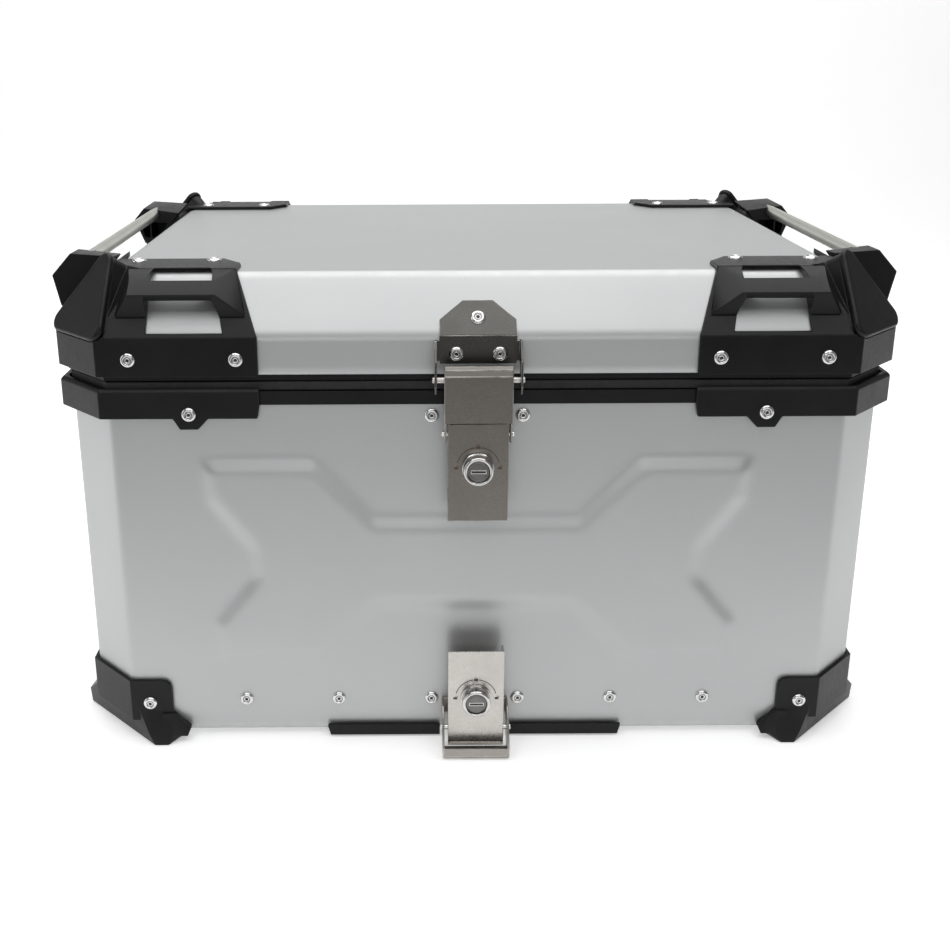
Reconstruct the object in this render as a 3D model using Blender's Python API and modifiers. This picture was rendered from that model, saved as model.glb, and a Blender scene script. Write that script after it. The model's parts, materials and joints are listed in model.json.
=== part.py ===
"""Aluminium motorcycle top case: body, lid on rear hinges, draw latch with lock, quick-release latch with lock.

Frame: +X to the right of the latch side, +Y towards the hinges, +Z up, origin on the ground in the middle.
Design lengths are in millimetres, with y counted from the front face of the corner mouldings; at() turns them into metres.
"""

import math

import bmesh
import bpy
from mathutils import Matrix, Vector

for old in list(bpy.data.objects):
    bpy.data.objects.remove(old, do_unlink=True)

# ---------------------------------------------------------------- driving dimensions, mm
MM = 0.001
DEPTH = 416.0            # front to rear face of the corner mouldings
Y_MID = 199.05           # middle of the whole object's depth, latch and hinges included
HALF = 300.0             # half width over the corner mouldings
CUT = 36.0               # corner chamfer of the mouldings
WALL = 1.6               # aluminium sheet
GAP = 0.3                # air between touching pieces

BODY_HALF, BODY_Y, BODY_CUT = 292.0, 4.0, 34.0
BODY_BOTTOM, BODY_FOLD, BODY_TOP, BODY_TUCK = 3.5, 20.0, 272.0, 5.0
LID_HALF, LID_Y, LID_CUT = 296.0, 3.2, 35.0
LID_BOTTOM, LID_FOLD, LID_TOP = 288.7, 316.0, 355.0
LID_TOP_HALF, LID_TOP_Y, LID_TOP_CUT = 259.0, 35.2, 24.0
COVER_BOTTOM, COVER_TOP = 288.2, 358.0
COVER_TOP_HALF, COVER_TOP_Y, COVER_TOP_CUT = 260.5, 33.0, 26.0
ARM_X = 152.0            # inner end of the front arms of the mouldings
ARM_Y = 112.0            # end of their side arms
EMBOSS = 3.5             # height of the pressed bow-tie

RAIL_X, RAIL_Z, RAIL_R = 285.0, 356.6, 5.0
HINGE_X, HINGE_Y, HINGE_Z = 100.0, 421.5, 283.0
LEVER_Y, LEVER_Z = -6.0, 262.0       # lever pivot on the body
LINK_Y, LINK_Z = -6.0, 248.0         # link pivot on the lever
ROD_Y, ROD_Z = -8.0, 287.5           # catch rod on the lid
UPPER_LOCK_Z = 225.3
LOWER_Y, LOWER_Z = -13.0, 19.0       # quick-release pivot
LOWER_LOCK_Z = 46.5
RIVET_R = 5.3


def at(x, y, z):
    return Vector((x * MM, (y - Y_MID) * MM, z * MM))


# ---------------------------------------------------------------- collections and materials
case = bpy.data.collections.new("top_case")
cutters = bpy.data.collections.new("cutters")
for c in (case, cutters):
    bpy.context.scene.collection.children.link(c)


def material(name, colour, roughness, metallic):
    m = bpy.data.materials.new(name)
    m.use_nodes = True
    bsdf = m.node_tree.nodes["Principled BSDF"]
    bsdf.inputs["Base Color"].default_value = (*colour, 1)
    bsdf.inputs["Roughness"].default_value = roughness
    bsdf.inputs["Metallic"].default_value = metallic
    m.diffuse_color = (*colour, 1)
    return m


SHEET = material("aluminium_sheet", (0.60, 0.61, 0.62), 0.42, 0.85)
PLASTIC = material("black_plastic", (0.025, 0.025, 0.028), 0.48, 0.0)
RUBBER = material("black_rubber", (0.015, 0.015, 0.015), 0.8, 0.0)
STEEL = material("satin_steel", (0.45, 0.43, 0.40), 0.35, 1.0)
BRIGHT = material("polished_steel", (0.75, 0.74, 0.72), 0.16, 1.0)
RAIL = material("anodised_tube", (0.50, 0.50, 0.45), 0.38, 0.8)


# ---------------------------------------------------------------- makers
def add(name, mesh, mat):
    ob = bpy.data.objects.new(name, mesh)
    case.objects.link(ob)
    mesh.materials.clear()
    mesh.materials.append(mat)
    return ob


def from_bm(name, bm, mat):
    bmesh.ops.recalc_face_normals(bm, faces=bm.faces)
    mesh = bpy.data.meshes.new(name)
    bm.to_mesh(mesh)
    bm.free()
    return add(name, mesh, mat)


def hull(name, points, mat=PLASTIC):
    """The convex solid around points given in design millimetres."""
    bm = bmesh.new()
    for p in points:
        bm.verts.new(at(*p))
    bmesh.ops.convex_hull(bm, input=bm.verts, use_existing_faces=False)
    loose = [v for v in bm.verts if not v.link_faces]
    bmesh.ops.delete(bm, geom=loose, context="VERTS")
    bmesh.ops.dissolve_limit(bm, angle_limit=math.radians(0.4), verts=bm.verts, edges=bm.edges)
    return from_bm(name, bm, mat)


def box(name, x, y, z, mat=PLASTIC):
    """A box from (low, high) pairs."""
    bm = bmesh.new()
    bmesh.ops.create_cube(bm, size=1.0)
    lo, hi = at(x[0], y[0], z[0]), at(x[1], y[1], z[1])
    size, mid = hi - lo, (hi + lo) / 2
    bmesh.ops.transform(bm, matrix=Matrix.Translation(mid) @ Matrix.Diagonal((*size, 1)), verts=bm.verts)
    return from_bm(name, bm, mat)


def drum(name, centre, axis, radius, length, mat=STEEL, sides=16, radius2=None):
    """A cylinder or cone from centre along axis."""
    bm = bmesh.new()
    r2 = radius if radius2 is None else radius2
    bmesh.ops.create_cone(bm, cap_ends=True, segments=sides, radius1=radius * MM, radius2=r2 * MM, depth=length * MM)
    turn = Vector((0, 0, 1)).rotation_difference(Vector(axis)).to_matrix().to_4x4()
    move = Matrix.Translation(at(*centre) + Vector(axis).normalized() * length * MM / 2)
    bmesh.ops.transform(bm, matrix=move @ turn, verts=bm.verts)
    return from_bm(name, bm, mat)


def outline(name, points, thickness, matrix, mat=STEEL):
    """A flat outline as a filled 2D curve, thickened about its plane, made a mesh and placed."""
    curve = bpy.data.curves.new(name, "CURVE")
    curve.dimensions = "2D"
    curve.fill_mode = "BOTH"
    curve.extrude = thickness * MM / 2
    spline = curve.splines.new("POLY")
    spline.points.add(len(points) - 1)
    for p, (u, v) in zip(spline.points, points):
        p.co = (u * MM, v * MM, 0, 1)
    spline.use_cyclic_u = True
    guide = bpy.data.objects.new(name + "_curve", curve)
    case.objects.link(guide)
    mesh = bpy.data.meshes.new_from_object(guide.evaluated_get(bpy.context.evaluated_depsgraph_get()))
    bpy.data.objects.remove(guide, do_unlink=True)
    bm = bmesh.new()
    bm.from_mesh(mesh)
    bpy.data.meshes.remove(mesh)
    bmesh.ops.remove_doubles(bm, verts=bm.verts, dist=1e-6)
    bmesh.ops.transform(bm, matrix=matrix, verts=bm.verts)
    return from_bm(name, bm, mat)


def side_plate(name, points, x, mat=STEEL):
    """An outline of (y, z) points standing across X, from x[0] to x[1]."""
    frame = Matrix(((0, 0, 1, 0), (1, 0, 0, 0), (0, 1, 0, 0), (0, 0, 0, 1)))
    middle = Matrix.Translation(at((x[0] + x[1]) / 2, 0, 0))
    return outline(name, points, x[1] - x[0], middle @ frame, mat)


def turned(name, profile, centre, mat=STEEL, sides=24):
    """A profile of (radius, y) pairs screwed about the Y axis through centre."""
    mesh = bpy.data.meshes.new(name)
    closed = profile[0][0] > 1e-6
    count = len(profile)
    edges = [(i, (i + 1) % count) for i in range(count if closed else count - 1)]
    mesh.from_pydata([(r * MM, 0, y * MM) for r, y in profile], edges, [])
    ob = add(name, mesh, mat)
    screw = ob.modifiers.new("Screw", "SCREW")
    screw.angle = math.tau
    screw.steps = screw.render_steps = sides
    screw.use_merge_vertices = True
    screw.merge_threshold = 0.00001
    screw.use_normal_calculate = True
    made = bpy.data.meshes.new_from_object(ob.evaluated_get(bpy.context.evaluated_depsgraph_get()))
    bpy.data.objects.remove(ob, do_unlink=True)
    bm = bmesh.new()
    bm.from_mesh(made)
    bpy.data.meshes.remove(made)
    bmesh.ops.remove_doubles(bm, verts=bm.verts, dist=1e-6)
    # the screw's Z becomes +Y
    turn = Matrix(((1, 0, 0, 0), (0, 0, 1, 0), (0, -1, 0, 0), (0, 0, 0, 1)))
    bmesh.ops.transform(bm, matrix=Matrix.Translation(at(*centre)) @ turn, verts=bm.verts)
    return from_bm(name, bm, mat)


def boolean(ob, operation, others):
    for other in others:
        m = ob.modifiers.new(other.name, "BOOLEAN")
        m.operation = operation
        m.solver = "EXACT"
        m.object = other
        other.hide_render = True
        other.display_type = "WIRE"
        if other.name not in cutters.objects:
            case.objects.unlink(other)
            cutters.objects.link(other)
    return ob


def minus(ob, *others):
    return boolean(ob, "DIFFERENCE", others)


def plus(ob, *others):
    return boolean(ob, "UNION", others)


def common(ob, *others):
    return boolean(ob, "INTERSECT", others)


def settled(ob):
    bpy.context.view_layer.update()
    return bpy.data.meshes.new_from_object(ob.evaluated_get(bpy.context.evaluated_depsgraph_get()))


def mirrored(ob, name, left_right=False, front_rear=False):
    """A copy of ob's finished shape on the other side and/or the other end."""
    mesh = settled(ob)
    y0 = (DEPTH / 2 - Y_MID) * MM
    flip = Matrix.Translation((0, y0, 0)) @ Matrix.Diagonal((-1 if left_right else 1, -1 if front_rear else 1, 1, 1)) @ Matrix.Translation((0, -y0, 0))
    mesh.transform(flip)
    if left_right != front_rear:
        mesh.flip_normals()
    return add(name, mesh, ob.data.materials[0])


def four(ob):
    """The front left piece's three partners."""
    base = ob.name[:-2]
    return [ob, mirrored(ob, base + "fr", True, False), mirrored(ob, base + "rl", False, True), mirrored(ob, base + "rr", True, True)]


def pivot(ob, x, y, z):
    """Moves an object's origin onto its joint's axis without moving its shape."""
    p = at(x, y, z)
    if ob.modifiers:
        mesh = settled(ob)
        mat = ob.data.materials[0]
        ob.modifiers.clear()
        ob.data = mesh
        mesh.materials.clear()
        mesh.materials.append(mat)
    ob.data.transform(Matrix.Translation(-p))
    ob.location = p
    return ob


def octagon(z, half, y, cut):
    """A chamfered rectangle at height z, y in from both ends."""
    y1 = DEPTH - y
    return [(sx * (half - cut), yy, z) for sx in (-1, 1) for yy in (y, y1)] + [
        (sx * half, yy, z) for sx in (-1, 1) for yy in (y + cut, y1 - cut)
    ]


def grown(e):
    """How a chamfer's cut grows when its octagon is offset by e."""
    return 0.586 * e


def body_form(name, e, low, high, mat=SHEET):
    h, y, c = BODY_HALF + e, BODY_Y - e, BODY_CUT + grown(e)
    t = BODY_TUCK
    return hull(name, octagon(low, h - t, y + t, c - 1) + octagon(BODY_FOLD, h, y, c) + octagon(high, h, y, c), mat)


def ring(name, e_out, e_in, z0, z1, base, mat):
    """A chamfered ring about the body: offsets from base (half, y, cut)."""
    h, y, c = base
    outer = hull(name, octagon(z0, h + e_out, y - e_out, c + grown(e_out)) + octagon(z1, h + e_out, y - e_out, c + grown(e_out)), mat)
    inner = hull(name + "_hole", octagon(z0 - 5, h + e_in, y - e_in, c + grown(e_in)) + octagon(z1 + 5, h + e_in, y - e_in, c + grown(e_in)), mat)
    return minus(outer, inner)


def lid_form(name, e, low, mat=SHEET):
    side = octagon(low, LID_HALF + e, LID_Y - e, LID_CUT + grown(e)) + octagon(LID_FOLD + 0.38 * e, LID_HALF + e, LID_Y - e, LID_CUT + grown(e))
    return hull(name, side + octagon(LID_TOP + e, LID_TOP_HALF + 0.43 * e, LID_TOP_Y - 0.47 * e, LID_TOP_CUT + 0.3 * e), mat)


# ---------------------------------------------------------------- pressed bow-tie
def bow_tie(name, outer, inner, y_root, y_foot, y_top, place, mat=SHEET):
    """A raised panel lofted from its foot outline to its smaller top outline; place(u, y, z) gives its point."""
    bm = bmesh.new()
    rings = []
    for y, shape in ((y_root, outer), (y_foot, outer), (y_top, inner)):
        full = shape + [(-u, z) for u, z in reversed(shape)]
        rings.append([bm.verts.new(place(u, y, z)) for u, z in full])
    for a, b in zip(rings, rings[1:]):
        for i in range(len(a)):
            j = (i + 1) % len(a)
            bm.faces.new((a[i], a[j], b[j], b[i]))
    bm.faces.new(rings[0])
    bm.faces.new(rings[-1])
    return from_bm(name, bm, mat)


FRONT_FOOT = [(-71.5, 184.6), (-114.8, 228.6), (-199.0, 228.6), (-197.5, 194.5), (-169.5, 157.7), (-166.5, 133.0), (-196.0, 98.0), (-193.5, 61.8), (-114.0, 61.8), (-70.0, 104.7)]
FRONT_FACE = [(-76.1, 170.8), (-119.8, 216.0), (-187.0, 216.0), (-182.5, 198.0), (-152.5, 157.6), (-151.5, 134.4), (-183.6, 94.0), (-183.6, 76.8), (-116.5, 76.8), (-74.0, 121.1)]
SIDE_SQUEEZE = 0.60      # the side panels' bow-tie is narrower


def squeezed(shape):
    return [(u * SIDE_SQUEEZE, z) for u, z in shape]


def panels(prefix, inward):
    """Bow-ties on the front, rear and both sides; inward moves them into the wall."""
    f, r = BODY_Y, DEPTH - BODY_Y
    mid = DEPTH / 2
    made = []
    for name, place in (
        ("front", lambda u, y, z: at(u, f + y, z)),
        ("rear", lambda u, y, z: at(u, r - y, z)),
        ("left", lambda u, y, z: at(-BODY_HALF + y, mid + u, z)),
        ("right", lambda u, y, z: at(BODY_HALF - y, mid + u, z)),
    ):
        ends = name in ("front", "rear")
        foot, face = (FRONT_FOOT, FRONT_FACE) if ends else (squeezed(FRONT_FOOT), squeezed(FRONT_FACE))
        made.append(bow_tie(prefix + name, foot, face, inward + 1.4, inward, inward - EMBOSS, place))
    return made


# ---------------------------------------------------------------- body
body = body_form("body_shell", 0, BODY_BOTTOM, BODY_TOP)
plus(body, *panels("press_", 0))
cavity = hull(
    "body_cavity",
    octagon(BODY_BOTTOM + 2, BODY_HALF - 7, BODY_Y + 7, BODY_CUT - 2)
    + octagon(BODY_FOLD + 1, BODY_HALF - WALL, BODY_Y + WALL, BODY_CUT - grown(WALL))
    + octagon(BODY_TOP + 8, BODY_HALF - WALL, BODY_Y + WALL, BODY_CUT - grown(WALL)),
)
plus(cavity, *panels("press_inner_", WALL))
minus(body, cavity)

BODY_BASE = (BODY_HALF, BODY_Y, BODY_CUT)
band = ring("body_rim_band", 1.5, -4.0, 267.0, 277.0, BODY_BASE, PLASTIC)
slot = ring("band_slot", GAP, -WALL - GAP, 260.0, BODY_TOP + GAP, BODY_BASE, PLASTIC)
minus(band, slot)

gasket = ring("rim_gasket", 0.2, -3.6, 277.3, 283.6, BODY_BASE, RUBBER)

# corner mouldings of the body's rim, front left first
corner = hull(
    "band_corner_fl",
    octagon(257.5, HALF, 0, CUT) + octagon(277.2, HALF, 0, CUT) + octagon(279.5, HALF - 2.2, 2.2, CUT - 1.3),
)
tab = outline(
    "corner_tab",
    [(-214.0, 259.0), (-187.0, 259.0), (-195.8, 249.6), (-208.5, 249.6)],
    3.6,
    Matrix.Translation(at(0, 1.8, 0)) @ Matrix(((1, 0, 0, 0), (0, 0, -1, 0), (0, 1, 0, 0), (0, 0, 0, 1))),
    PLASTIC,
)
arm_clip = hull(
    "corner_arm_clip",
    [(x, y, z) for x, z in ((-330, 240), (-157, 240), (-157, 262), (-152, 268), (-152, 290), (-330, 290)) for y in (-20, 60)],
)
side_clip = box("corner_side_clip", (-330, -262), (50, ARM_Y), (240, 290))
plus(arm_clip, side_clip)
common(corner, arm_clip)
plus(corner, tab)
minus(
    corner,
    hull("corner_body_cut", octagon(240, BODY_HALF + GAP, BODY_Y - GAP, BODY_CUT + grown(GAP)) + octagon(270, BODY_HALF + GAP, BODY_Y - GAP, BODY_CUT + grown(GAP))),
    hull("corner_band_cut", octagon(266.7, BODY_HALF + 1.8, BODY_Y - 1.8, BODY_CUT + grown(1.8)) + octagon(290, BODY_HALF + 1.8, BODY_Y - 1.8, BODY_CUT + grown(1.8))),
)
BAND_RIVET = (-201.6, 261.0)
minus(corner, drum("corner_rivet_hole", (BAND_RIVET[0], -5, BAND_RIVET[1]), (0, 1, 0), 2.7, 12, sides=12))
four(corner)


def rivet_row(name, places, head, sense, strip=None, shank=10.0):
    """Blind rivets along Y through a wall: places are (x, z), head is the y of the seat, sense +1 for the front."""
    whole = None
    for i, (x, z) in enumerate(places):
        axis = (0, sense, 0)
        h = drum(f"{name}_head_{i}", (x, head - sense * 2.3, z), axis, 3.4, 2.0, BRIGHT, 12, RIVET_R)
        s = drum(f"{name}_shank_{i}", (x, head - sense * 0.6, z), axis, 2.3, shank, BRIGHT, 10)
        plus(h, s)
        if whole is None:
            whole = h
            whole.name = name
            whole.data.name = name
        else:
            plus(whole, h)
    if strip is not None:
        plus(whole, strip)
    return whole


def shank_holes(prefix, places, y0, length):
    return [drum(f"{prefix}_{i}", (x, y0, z), (0, 1, 0), 2.7, length, sides=12) for i, (x, z) in enumerate(places)]


BAND_PLACES = [(sx * abs(BAND_RIVET[0]), BAND_RIVET[1]) for sx in (-1, 1)]
ROW_Z = 33.5
ROW_PLACES = [(x, ROW_Z) for x in (-172.5, -102.5, -32.5, 32.5, 102.5, 172.5)]
minus(
    body,
    *shank_holes("band_hole_front", BAND_PLACES, 0, 12),
    *shank_holes("band_hole_rear", BAND_PLACES, DEPTH - 12, 12),
    *shank_holes("row_hole_front", ROW_PLACES, 0, 9),
    *shank_holes("row_hole_rear", ROW_PLACES, DEPTH - 9, 9),
)
band_rivet = rivet_row("band_rivet_fl", [BAND_RIVET], -GAP, 1, box("band_rivet_tail", (BAND_RIVET[0] - 3.6, BAND_RIVET[0] + 3.6), (6.0, 7.4), (257.4, 264.6), BRIGHT), 7.4)
four(band_rivet)
front_row = rivet_row("body_rivets_front", ROW_PLACES, BODY_Y - GAP, 1, box("row_strip", (-182, 182), (BODY_Y + WALL + GAP, BODY_Y + WALL + GAP + 1.5), (ROW_Z - 5, ROW_Z + 5), BRIGHT), 3.4)
mirrored(front_row, "body_rivets_rear", False, True)

# feet: corner mouldings with a diagonal skid
foot = hull(
    "foot_fl",
    octagon(17.0, BODY_HALF + 3.2, BODY_Y - 3.2, BODY_CUT + grown(3.2)) + octagon(51.5, BODY_HALF + 3.2, BODY_Y - 3.2, BODY_CUT + grown(3.2)),
)
clip = box("foot_clip", (-330, -228), (-20, 67), (15, 50.5))
common(foot, clip)
bev = clip.modifiers.new("round", "BEVEL")
bev.width = 7 * MM
bev.segments = 3
bev.limit_method = "ANGLE"
skid = hull(
    "foot_skid",
    [(-242, -7, 0), (-232, -7, 0), (-222, 8, 0), (-285, 71, 0), (-306, 66, 0), (-306, 56, 0)]
    + [(-246, -6, 9), (-228, -5, 8), (-216, 4, 8.5), (-288, 76, 8.5), (-307, 68, 10), (-307, 56, 12)]
    + [(-254, 0.8, 27), (-229, 0.8, 24), (-225, 12, 24), (-284, 66, 24), (-295.2, 66, 24), (-295.2, 40, 27)],
)
step = hull("foot_step", [(-236, -2, 4.5), (-218, -2, 4.5), (-216, 0.4, 9), (-228, -0.5, 24), (-236, -2, 24), (-236, 20, 4.5), (-219, 20, 4.5), (-216, 20, 9)])
step_side = hull("foot_step_side", [(-301, 62, 4.5), (-301, 80, 4.5), (-299, 82, 9), (-299.5, 70, 24), (-301, 62, 24), (-280, 62, 4.5), (-280, 79, 4.5), (-280, 82, 9)])
plus(foot, skid, step, step_side)
minus(foot, body_form("foot_body_cut", GAP, BODY_BOTTOM - GAP, 90))
four(foot)

# bottom bars beside the quick-release, and the plate the case is carried on
for sx, name in ((-1, "bottom_bar_left"), (1, "bottom_bar_right")):
    lo, hi = sorted((sx * 26.2, sx * 111.5))
    bar = box(name, (lo, hi), (4.0, 6.2), (1.2, 10.2), PLASTIC)
    plus(bar, box(name + "_sole", (lo, hi), (4.0, 38.0), (1.2, 3.0), PLASTIC))
    tip = sx * 111.5
    minus(bar, hull(name + "_tip", [(tip + sx * 5, y, z) for y in (0, 12) for z in (-5, 8)] + [(tip - sx * 3.5, y, -5) for y in (0, 12)] + [(tip, y, 8) for y in (0, 12)]))
plate = box("mounting_plate", (-95, 95), (70, 340), (1.2, 3.0), STEEL)
for i, (x, y) in enumerate(((-62, 120), (62, 120), (-62, 290), (62, 290))):
    minus(plate, box(f"plate_slot_{i}", (x - 8, x + 8), (y - 22, y + 22), (-4, 9)))

# ---------------------------------------------------------------- lid
lid = lid_form("lid_shell", 0, LID_BOTTOM)
minus(lid, lid_form("lid_cavity", -WALL, LID_BOTTOM - 12))
LID_BASE = (LID_HALF, LID_Y, LID_CUT)
lid_rim = ring("lid_rim", -WALL - GAP, -8.6, 284.1, 294.0, LID_BASE, PLASTIC)

BAR = [(4.0, 345.0), (16.0, 352.8), (19.5, 348.5), (10.0, 337.2)]
COVER_PLACES = [(-241.2, 300.5), (-167.0, 300.5)]
LUG_ROOT = [(-294, 66, 363), (-308.5, 66, 347), (-304, 66, 325), (-297, 66, 314), (-262, 66, 360.8)]
LUG_SHORT = [(-294, 88, 362.6), (-306, 88, 348), (-302, 88, 330), (-290, 88, 324), (-262, 88, 359)]
LUG_LONG = [(-294, ARM_Y, 362.4), (-303, ARM_Y, 352), (-299, ARM_Y, 342), (-295, ARM_Y, 331), (-283, ARM_Y, 331), (-262, ARM_Y, 358)]
LUG_POCKETS = [
    [(-296.5, 346), (-294.5, 336), (-289.5, 335), (-289.5, 348.6), (-292, 349.4)],
    [(-287.9, 335.5), (-284, 334.6), (-276.5, 342.5), (-272.5, 349), (-287.9, 349.5)],
]

PAD_OUT, PAD_IN = 2.0, -3.2
PAD_M = Vector((-282.0, 18.0, 315.0))
PAD_U = Vector((23.0, 23.0, 53.0)).normalized()
PAD_T = Vector((-1.0, 1.0, 0.0)).normalized()
PAD_N = PAD_U.cross(PAD_T).normalized()
if PAD_N.z < 0:
    PAD_N = -PAD_N


def pad_form(name, grow, out, into, mat=PLASTIC, sides=16):
    """A triangle with round corners on the chamfer's slope, from out to into along its normal."""
    pts = []
    for t, u, r in ((0.0, 54.0, 8.0), (-21.0, 7.5, 9.0), (21.0, 7.5, 9.0)):
        for k in range(sides):
            a = math.tau * k / sides
            p = PAD_M + PAD_T * (t + (r + grow) * math.cos(a)) + PAD_U * (u + (r + grow) * math.sin(a))
            pts += [tuple(p + PAD_N * out), tuple(p + PAD_N * into)]
    return hull(name, pts, mat)


def corner_cover(name, lug_end, pockets):
    """A corner cover in the front left place: shell over the lid's corner, handle, rail lug and pad seat."""
    cover = hull(
        name,
        octagon(COVER_BOTTOM, HALF, 0, CUT) + octagon(LID_FOLD, HALF, 0, CUT) + octagon(COVER_TOP, COVER_TOP_HALF, COVER_TOP_Y, COVER_TOP_CUT),
    )
    front_clip = hull(
        "cover_front_clip",
        [(x, y, z) for x, z in ((-330, 280), (-ARM_X, 280), (-ARM_X, 316), (-176, 375), (-330, 375)) for y in (-40, 72)],
    )
    plus(front_clip, box("cover_side_clip", (-330, -261.5), (60, ARM_Y), (280, 375)))
    common(cover, front_clip)
    block = hull(
        "cover_handle_block",
        [(-239.6, 4, 345), (-179.5, 4, 345), (-240, 16, 352.8), (-181, 16, 352.8)]
        + [(-250.5, 9.6, 328.3), (-160.0, 9.6, 328.3), (-244, 33.4, 357.9), (-168.5, 33.4, 357.9)]
        + [(-244, 34, 340), (-168.5, 34, 340)],
    )
    plus(cover, block, hull("cover_lug", LUG_ROOT + lug_end), pad_form("cover_pad_seat", -1.5, PAD_IN - GAP, -26))
    lower_window = hull(
        "cover_lower_window",
        [(x, y, z) for x, y, z in (
            (-228.5, -12, 318.3), (-175.7, -12, 318.3), (-228.5, 7, 318.3), (-175.7, 7, 318.3),
            (-228.5, -12, 337.2), (-182.3, -12, 337.2), (-228.5, 26, 343.0), (-182.3, 26, 343.0), (-228.5, 10.0, 337.2), (-182.3, 10.0, 337.2))],
    )
    under_bar = hull("cover_under_bar", [(x, y, z) for x in (-228.5, -182.3) for y, z in ((-12, 336.8), (10.0, 337.2), (4.0, 345.0), (-12, 345.0))])
    tunnel = hull("cover_tunnel", [(x, y, z) for x in (-228.5, -183.3) for y, z in ((10.0, 337.2), (19.5, 348.5), (28, 343), (12, 322))])
    upper_window = hull(
        "cover_upper_window",
        [(x, y, z) for x0, x1, y, z in (
            (-228.5, -183.3, 19.5, 348.5), (-228.5, -183.3, 16.0, 352.8), (-226.5, -186.5, 14, 366), (-224, -188.6, 26, 366), (-225.5, -187.1, 35.6, 358.6), (-228.5, -183.3, 36.5, 350), (-228.5, -183.3, 28, 342))
         for x in (x0, x1)],
    )
    lid_cut = lid_form("cover_lid_cut", GAP, 270)
    minus(
        cover,
        lid_cut,
        lower_window,
        under_bar,
        tunnel,
        upper_window,
        pad_form("cover_pad_pocket", GAP, 25, PAD_IN - GAP),
        drum("rail_socket", (-RAIL_X, 78, RAIL_Z), (0, 1, 0), RAIL_R + GAP, 70, sides=20),
        hull("flange_corner", [(-184, 76, z) for z in (350, 365)] + [(-181, 74, z) for z in (350, 365)] + [(-166, 74, z) for z in (350, 365)] + [(-166, 55, z) for z in (350, 365)] + [(-170, 56, z) for z in (350, 365)] + [(-182.5, 72.2, z) for z in (350, 365)]),
        *shank_holes("cover_hole", COVER_PLACES, -5, 12),
        *[hull(f"lug_pocket_{i}", [(x, y, z) for x, z in shape for y in (86, 116)]) for i, shape in enumerate(pockets)],
    )
    return cover


front_cover = corner_cover("lid_cover_fl", LUG_SHORT, [])
mirrored(front_cover, "lid_cover_fr", True, False)
rear_form = corner_cover("cover_rear_form", LUG_LONG, LUG_POCKETS)
mirrored(rear_form, "lid_cover_rl", False, True)
mirrored(rear_form, "lid_cover_rr", True, True)
rear_form.hide_render = True
rear_form.display_type = "WIRE"
case.objects.unlink(rear_form)
cutters.objects.link(rear_form)
pads = four(minus(pad_form("corner_pad_fl", 0, PAD_OUT, PAD_IN, PLASTIC, 24), lid_form("pad_lid_cut", 1.0, 270)))

LID_PLACES = [(sx * abs(x), z) for x, z in COVER_PLACES for sx in (-1, 1)] + [(-15.0, 303.7), (15.0, 303.7)]
minus(lid, *shank_holes("lid_hole_front", LID_PLACES, -2, 12), *shank_holes("lid_hole_rear", LID_PLACES[:4], DEPTH - 12, 14))
cover_rivets = rivet_row("cover_rivets_fl", COVER_PLACES, -GAP, 1, box("cover_rivet_strip", (-248, -160), (LID_Y + WALL + GAP, LID_Y + WALL + GAP + 1.5), (295.8, 305.2), BRIGHT), 6.4)
four(cover_rivets)

# carrying rails: tubes between the lugs
for sx, name in ((-1, "grab_rail_left"), (1, "grab_rail_right")):
    curve = bpy.data.curves.new(name, "CURVE")
    curve.dimensions = "3D"
    curve.bevel_depth = RAIL_R * MM
    curve.bevel_resolution = 3
    curve.use_fill_caps = True
    spline = curve.splines.new("POLY")
    spline.points.add(1)
    for p, y in zip(spline.points, (80.0, DEPTH - 80.0)):
        p.co = (*at(sx * RAIL_X, y, RAIL_Z), 1)
    curve.materials.append(RAIL)
    guide = bpy.data.objects.new(name + "_curve", curve)
    case.objects.link(guide)
    mesh = bpy.data.meshes.new_from_object(guide.evaluated_get(bpy.context.evaluated_depsgraph_get()))
    bpy.data.objects.remove(guide, do_unlink=True)
    bm = bmesh.new()
    bm.from_mesh(mesh)
    bmesh.ops.remove_doubles(bm, verts=bm.verts, dist=1e-6)
    from_bm(name, bm, RAIL)

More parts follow.
